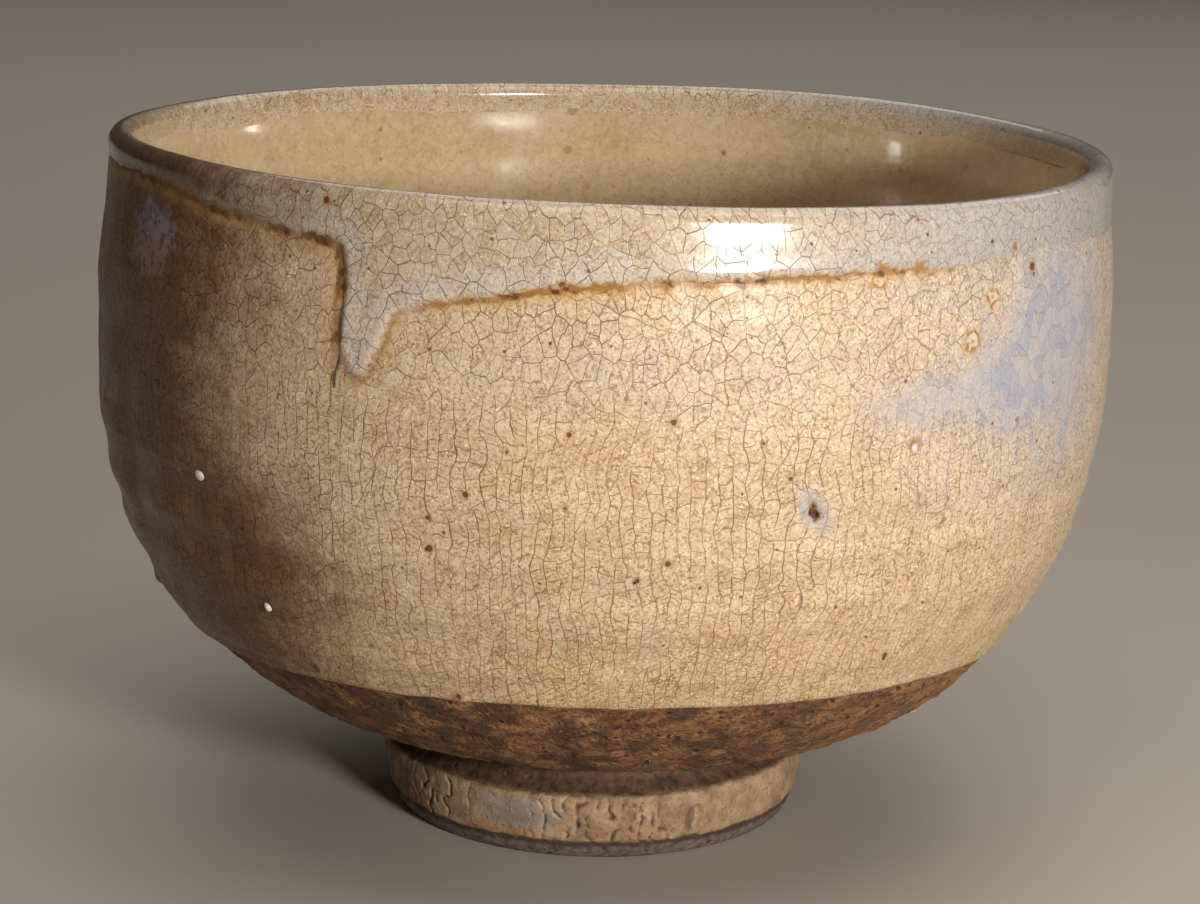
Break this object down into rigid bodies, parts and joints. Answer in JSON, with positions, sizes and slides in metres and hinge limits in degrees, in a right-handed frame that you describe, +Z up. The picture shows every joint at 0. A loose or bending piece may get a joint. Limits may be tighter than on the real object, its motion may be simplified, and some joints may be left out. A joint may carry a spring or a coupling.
{
  "type": "matcha bowl",
  "caption": "Hand-thrown stoneware tea bowl with a turned foot ring, a crackled glaze inside and out, and a second dip of glaze round the rim with one run.",
  "frame": {"origin": "middle of the foot ring's resting face, on the bowl's axis", "axes": "+Z up along the bowl's axis, out of its mouth; -Y towards the face that carries the glaze run, which hangs left of the middle"},
  "size_m": [0.124, 0.1242, 0.085],
  "materials": {
    "bare_clay": "rough",
    "foot_clay": "rough",
    "crackle_glaze": "satin",
    "inside_glaze": "gloss",
    "rim_glaze": "gloss",
    "foot_wash": "matt",
    "feldspar": "gloss",
    "iron": "satin"
  },
  "bodies": {
    "root": {"clay_body": "bare_clay", "foot_ring": "foot_clay", "outer_glaze": "crackle_glaze", "inner_glaze": "inside_glaze", "overlap_glaze": "rim_glaze", "foot_wash": "foot_wash", "feldspar_grains": "feldspar", "iron_grains": "iron"}
  },
  "joints": []
}
